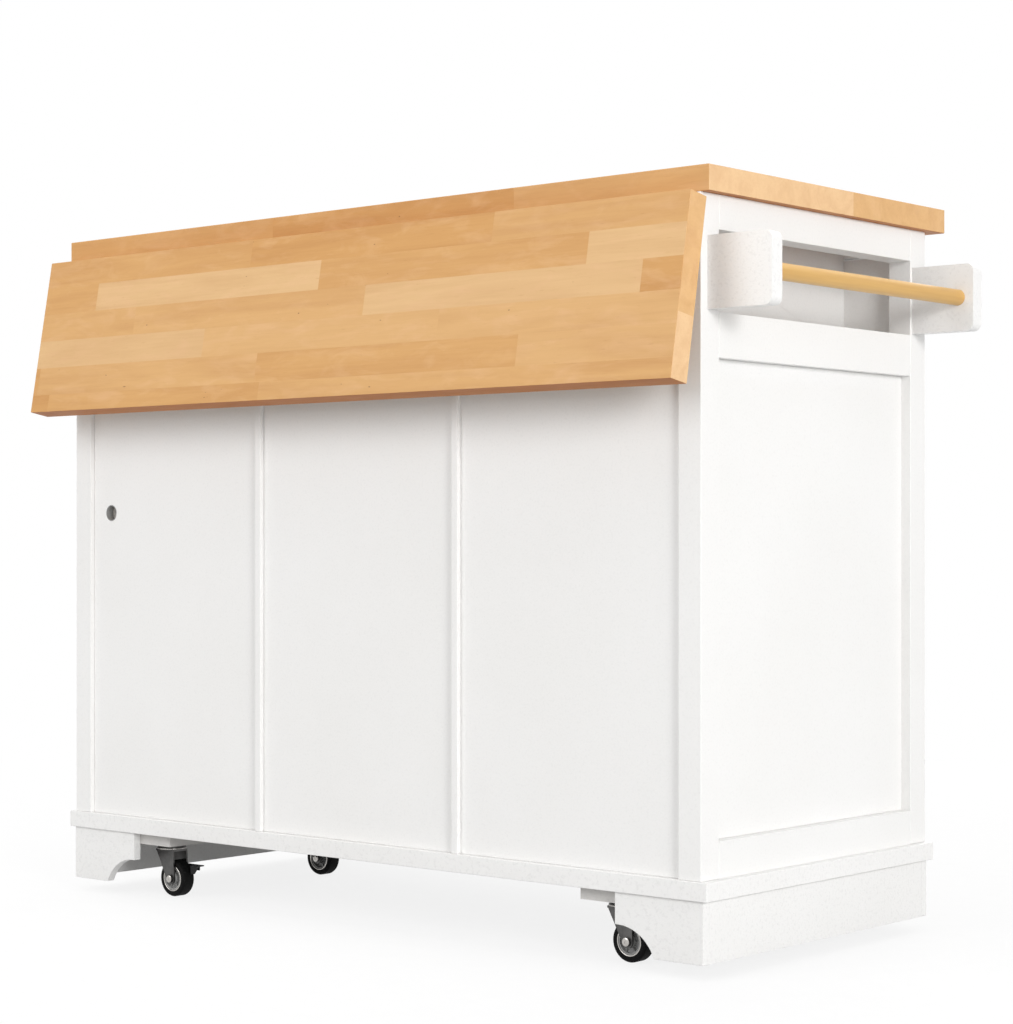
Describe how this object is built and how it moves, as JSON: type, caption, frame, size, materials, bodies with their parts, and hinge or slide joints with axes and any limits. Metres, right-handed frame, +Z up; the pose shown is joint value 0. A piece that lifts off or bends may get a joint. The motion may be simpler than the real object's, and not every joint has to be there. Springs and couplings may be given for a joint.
{
  "type": "serving cart",
  "caption": "Rolling kitchen serving cart with a wooden worktop, a drop leaf on folding braces, a towel rack, an end niche, drawers, doors and swivel casters.",
  "frame": {"origin": "centre of the outer box in X and Y with the leaf hanging, on the floor", "axes": "+X along the worktop towards the towel rack, +Y towards the doors and drawers, +Z up"},
  "size_m": [1.1944, 0.5818, 0.917],
  "materials": {
    "white_paint": "satin white paint",
    "worktop_wood": "oiled butcher block",
    "rod_wood": "lacquered",
    "drawer_wood": "bare plywood",
    "zinc_steel": "zinc plated",
    "nickel": "satin nickel",
    "tyre": "matte",
    "hub_plastic": "moulded grey",
    "rubber": "matte",
    "pedal_plastic": "moulded black"
  },
  "bodies": {
    "carcass": {"corner_posts": "white_paint", "base_board": "white_paint", "foot_boards": "white_paint", "end_skirts": "white_paint", "back_panel_left": "white_paint", "back_panel_middle": "white_paint", "back_panel_right": "white_paint", "back_top_rail": "white_paint", "back_battens": "white_paint", "end_rails": "white_paint", "end_panel_right": "white_paint", "end_panel_left": "white_paint", "niche_boards": "white_paint", "partitions": "white_paint", "front_rails": "white_paint", "false_front": "white_paint", "shelves": "white_paint", "shelf_cleats": "white_paint", "caster_blocks": "white_paint", "towel_bracket_back": "white_paint", "towel_bracket_front": "white_paint", "worktop": "worktop_wood", "towel_rod": "rod_wood", "drawer_runners": "zinc_steel", "leaf_hinges_fixed": "zinc_steel", "brace_brackets": "zinc_steel", "caster_plates": "zinc_steel", "door_hinges_fixed": "nickel", "leaf_buffers": "rubber"},
    "leaf_assembly": {"leaf": "worktop_wood", "leaf_hinges_moving": "zinc_steel"},
    "left_brace": {"brace_left": "white_paint"},
    "right_brace": {"brace_right": "white_paint"},
    "left_drawer": {"drawer_front_left": "white_paint", "drawer_box_left": "drawer_wood", "drawer_knob_left": "nickel"},
    "middle_drawer": {"drawer_front_middle": "white_paint", "drawer_box_middle": "drawer_wood", "drawer_knob_middle": "nickel"},
    "middle_door": {"door_middle": "white_paint", "door_knob_middle": "nickel", "door_hinge_flaps_middle": "nickel"},
    "right_door": {"door_right": "white_paint", "door_knob_right": "nickel", "door_hinge_flaps_right": "nickel"},
    "caster_back_left": {"caster_fork_back_left": "zinc_steel"},
    "wheel_back_left": {"wheel_hub_back_left": "hub_plastic", "tyre_back_left": "tyre"},
    "pedal_back_left": {"brake_pedal_back_left": "pedal_plastic"},
    "caster_back_right": {"caster_fork_back_right": "zinc_steel"},
    "wheel_back_right": {"wheel_hub_back_right": "hub_plastic", "tyre_back_right": "tyre"},
    "pedal_back_right": {"brake_pedal_back_right": "pedal_plastic"},
    "caster_front_left": {"caster_fork_front_left": "zinc_steel"},
    "wheel_front_left": {"wheel_hub_front_left": "hub_plastic", "tyre_front_left": "tyre"},
    "caster_front_right": {"caster_fork_front_right": "zinc_steel"},
    "wheel_front_right": {"wheel_hub_front_right": "hub_plastic", "tyre_front_right": "tyre"}
  },
  "joints": [
    {"name": "leaf_fold", "type": "hinge", "parent": "carcass", "child": "leaf_assembly", "pos_m": [-0.03825, -0.21764, 0.881], "axis": [-1, 0, 0], "range_deg": [0, 80]},
    {"name": "left_brace_fold", "type": "hinge", "parent": "carcass", "child": "left_brace", "pos_m": [-0.33825, -0.22614, 0.803], "axis": [-1, 0, 0], "range_deg": [0, 135]},
    {"name": "right_brace_fold", "type": "hinge", "parent": "carcass", "child": "right_brace", "pos_m": [0.26175, -0.22614, 0.803], "axis": [-1, 0, 0], "range_deg": [0, 135]},
    {"name": "left_drawer_slide", "type": "slide", "parent": "carcass", "child": "left_drawer", "axis": [0, 1, 0], "range_m": [0, 0.3]},
    {"name": "middle_drawer_slide", "type": "slide", "parent": "carcass", "child": "middle_drawer", "axis": [0, 1, 0], "range_m": [0, 0.3]},
    {"name": "middle_door_hinge", "type": "hinge", "parent": "carcass", "child": "middle_door", "pos_m": [-0.20275, 0.26516, 0.4], "axis": [0, 0, 1], "range_deg": [0, 110]},
    {"name": "right_door_hinge", "type": "hinge", "parent": "carcass", "child": "right_door", "pos_m": [0.47625, 0.26516, 0.4], "axis": [0, 0, -1], "range_deg": [0, 110]},
    {"name": "caster_back_left_swivel", "type": "hinge", "parent": "carcass", "child": "caster_back_left", "pos_m": [-0.43975, -0.16894, 0.065], "axis": [0, 0, 1], "continuous": true},
    {"name": "wheel_back_left_spin", "type": "hinge", "parent": "caster_back_left", "child": "wheel_back_left", "pos_m": [-0.42775, -0.16894, 0.025], "axis": [0, 1, 0], "continuous": true},
    {"name": "pedal_back_left_press", "type": "hinge", "parent": "caster_back_left", "child": "pedal_back_left", "pos_m": [-0.42175, -0.16894, 0.04], "axis": [0, 1, 0], "range_deg": [0, 8]},
    {"name": "caster_back_right_swivel", "type": "hinge", "parent": "carcass", "child": "caster_back_right", "pos_m": [0.36325, -0.16894, 0.065], "axis": [0, 0, 1], "continuous": true},
    {"name": "wheel_back_right_spin", "type": "hinge", "parent": "caster_back_right", "child": "wheel_back_right", "pos_m": [0.37525, -0.16894, 0.025], "axis": [0, 1, 0], "continuous": true},
    {"name": "pedal_back_right_press", "type": "hinge", "parent": "caster_back_right", "child": "pedal_back_right", "pos_m": [0.38125, -0.16894, 0.04], "axis": [0, 1, 0], "range_deg": [0, 8]},
    {"name": "caster_front_left_swivel", "type": "hinge", "parent": "carcass", "child": "caster_front_left", "pos_m": [-0.43975, 0.11606, 0.065], "axis": [0, 0, 1], "continuous": true},
    {"name": "wheel_front_left_spin", "type": "hinge", "parent": "caster_front_left", "child": "wheel_front_left", "pos_m": [-0.42775, 0.11606, 0.025], "axis": [0, 1, 0], "continuous": true},
    {"name": "caster_front_right_swivel", "type": "hinge", "parent": "carcass", "child": "caster_front_right", "pos_m": [0.36325, 0.11606, 0.065], "axis": [0, 0, 1], "continuous": true},
    {"name": "wheel_front_right_spin", "type": "hinge", "parent": "caster_front_right", "child": "wheel_front_right", "pos_m": [0.37525, 0.11606, 0.025], "axis": [0, 1, 0], "continuous": true}
  ],
  "couplings": [
    {"joint": "left_brace_fold", "follows": "leaf_fold", "ratio": 1.6875},
    {"joint": "right_brace_fold", "follows": "leaf_fold", "ratio": 1.6875}
  ]
}
